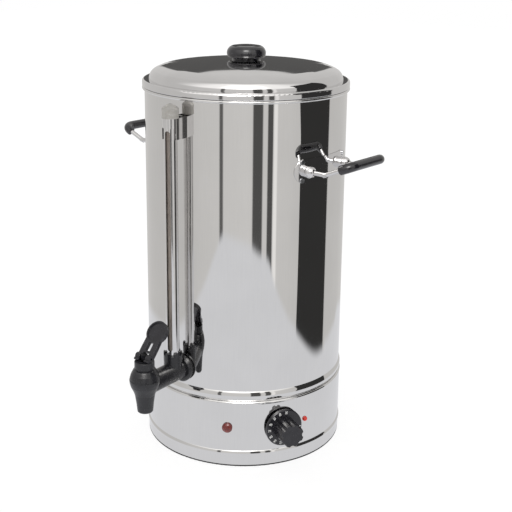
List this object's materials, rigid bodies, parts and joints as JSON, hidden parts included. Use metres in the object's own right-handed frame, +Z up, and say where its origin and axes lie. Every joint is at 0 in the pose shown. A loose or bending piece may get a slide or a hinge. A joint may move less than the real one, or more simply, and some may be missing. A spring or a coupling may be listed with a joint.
{
  "type": "hot water urn",
  "caption": "Tall steel hot water urn with a lift-off lid, folding side handles, a sight gauge, a lever tap at the front and a dial and lamp on its base.",
  "frame": {"origin": "on the tank's axis, in the plane of the foot ring that the urn stands on", "axes": "+Z up along the tank's axis; the tap, the gauge and the lever face -Y; the dial and lamp are between -Y and +X; the cable gland faces +Y"},
  "size_m": [0.4158, 0.3939, 0.5543],
  "materials": {
    "polished_stainless": "polished",
    "plain_stainless": "satin",
    "zinc_steel": "satin",
    "heater_sheath": "matte",
    "brass": "satin",
    "copper": "satin",
    "silicone": "matte",
    "black_rubber": "matte",
    "black_plastic": "satin",
    "grip_plastic": "gloss",
    "white_nylon": "satin",
    "bakelite": "satin",
    "ivory_plastic": "satin",
    "red_lens": "gloss",
    "red_plastic": "gloss",
    "wire_insulation": "matte",
    "spring_steel": "satin",
    "gauge_tube_glass": "gloss",
    "clear_plastic": "gloss",
    "chrome_plate": "polished"
  },
  "bodies": {
    "urn": {"tank_shell": "polished_stainless", "tank_floor": "plain_stainless", "base_skirt": "polished_stainless", "base_plate": "zinc_steel", "foot_ring": "black_rubber", "base_posts": "zinc_steel", "base_screws": "zinc_steel", "heating_element": "heater_sheath", "element_bushes": "brass", "element_seals": "silicone", "element_nuts": "brass", "thermostat_body": "ivory_plastic", "thermostat_bracket": "zinc_steel", "thermostat_screws": "zinc_steel", "capillary_tube": "copper", "sensor_bulb": "copper", "bulb_clip": "zinc_steel", "thermal_cutout": "bakelite", "cutout_bracket": "zinc_steel", "lamp_lens": "red_lens", "lamp_body": "black_plastic", "lamp_nut": "zinc_steel", "dial_index": "red_plastic", "terminal_block": "ivory_plastic", "cable_gland": "black_plastic", "gland_locknut": "black_plastic", "gland_cap": "black_plastic", "gland_seal": "black_rubber", "wiring": "wire_insulation", "earth_terminal": "brass", "tap_body": "black_plastic", "tap_collar": "black_plastic", "tap_seals": "black_rubber", "tap_locknut": "white_nylon", "tap_bonnet": "black_plastic", "gauge_nut": "black_plastic", "gauge_seals": "silicone", "gauge_glass": "gauge_tube_glass", "gauge_guard": "chrome_plate", "gauge_cap": "clear_plastic", "gauge_clip": "chrome_plate", "gauge_clip_fixing": "zinc_steel", "handle_brackets": "chrome_plate", "bracket_rivets": "spring_steel"},
    "lid": {"lid_shell": "polished_stainless", "lid_centring_ring": "plain_stainless", "lid_knob": "black_plastic", "lid_knob_screw": "zinc_steel"},
    "dial": {"dial_knob": "black_plastic", "thermostat_shaft": "zinc_steel"},
    "right_handle": {"handle_bail_right": "chrome_plate", "handle_grip_right": "grip_plastic"},
    "left_handle": {"handle_bail_left": "chrome_plate", "handle_grip_left": "grip_plastic"},
    "tap_valve": {"tap_stem": "spring_steel", "tap_seat_cup": "white_nylon", "tap_spring": "spring_steel", "tap_lever_pin": "spring_steel"},
    "tap_handle": {"tap_lever": "black_plastic"}
  },
  "joints": [
    {"name": "lid_lift", "type": "slide", "parent": "urn", "child": "lid", "axis": [0, 0, 1], "range_m": [0, 0.06]},
    {"name": "dial_turn", "type": "hinge", "parent": "urn", "child": "dial", "pos_m": [0.12369, -0.07373, 0.0562], "axis": [0.859, -0.512, 0], "range_deg": [-284, 0]},
    {"name": "right_handle_swing", "type": "hinge", "parent": "urn", "child": "right_handle", "pos_m": [0.14017, -0.00882, 0.407], "axis": [0.0628, 0.998, 0], "range_deg": [0, 90]},
    {"name": "left_handle_swing", "type": "hinge", "parent": "urn", "child": "left_handle", "pos_m": [-0.14017, 0.00882, 0.407], "axis": [-0.0628, -0.998, 0], "range_deg": [0, 90]},
    {"name": "tap_stem_lift", "type": "slide", "parent": "urn", "child": "tap_valve", "axis": [0, 0, 1], "range_m": [0, 0.00335], "deforming": ["tap_spring"]},
    {"name": "tap_lever_tilt", "type": "hinge", "parent": "tap_valve", "child": "tap_handle", "pos_m": [0, -0.2135, 0.1735], "axis": [1, 0, 0], "range_deg": [0, 60], "stiffness_Nm_per_rad": 0.05, "springref_deg": -17.19}
  ],
  "couplings": [
    {"joint": "tap_lever_tilt", "follows": "tap_stem_lift", "rad_per_m": 312.5}
  ]
}
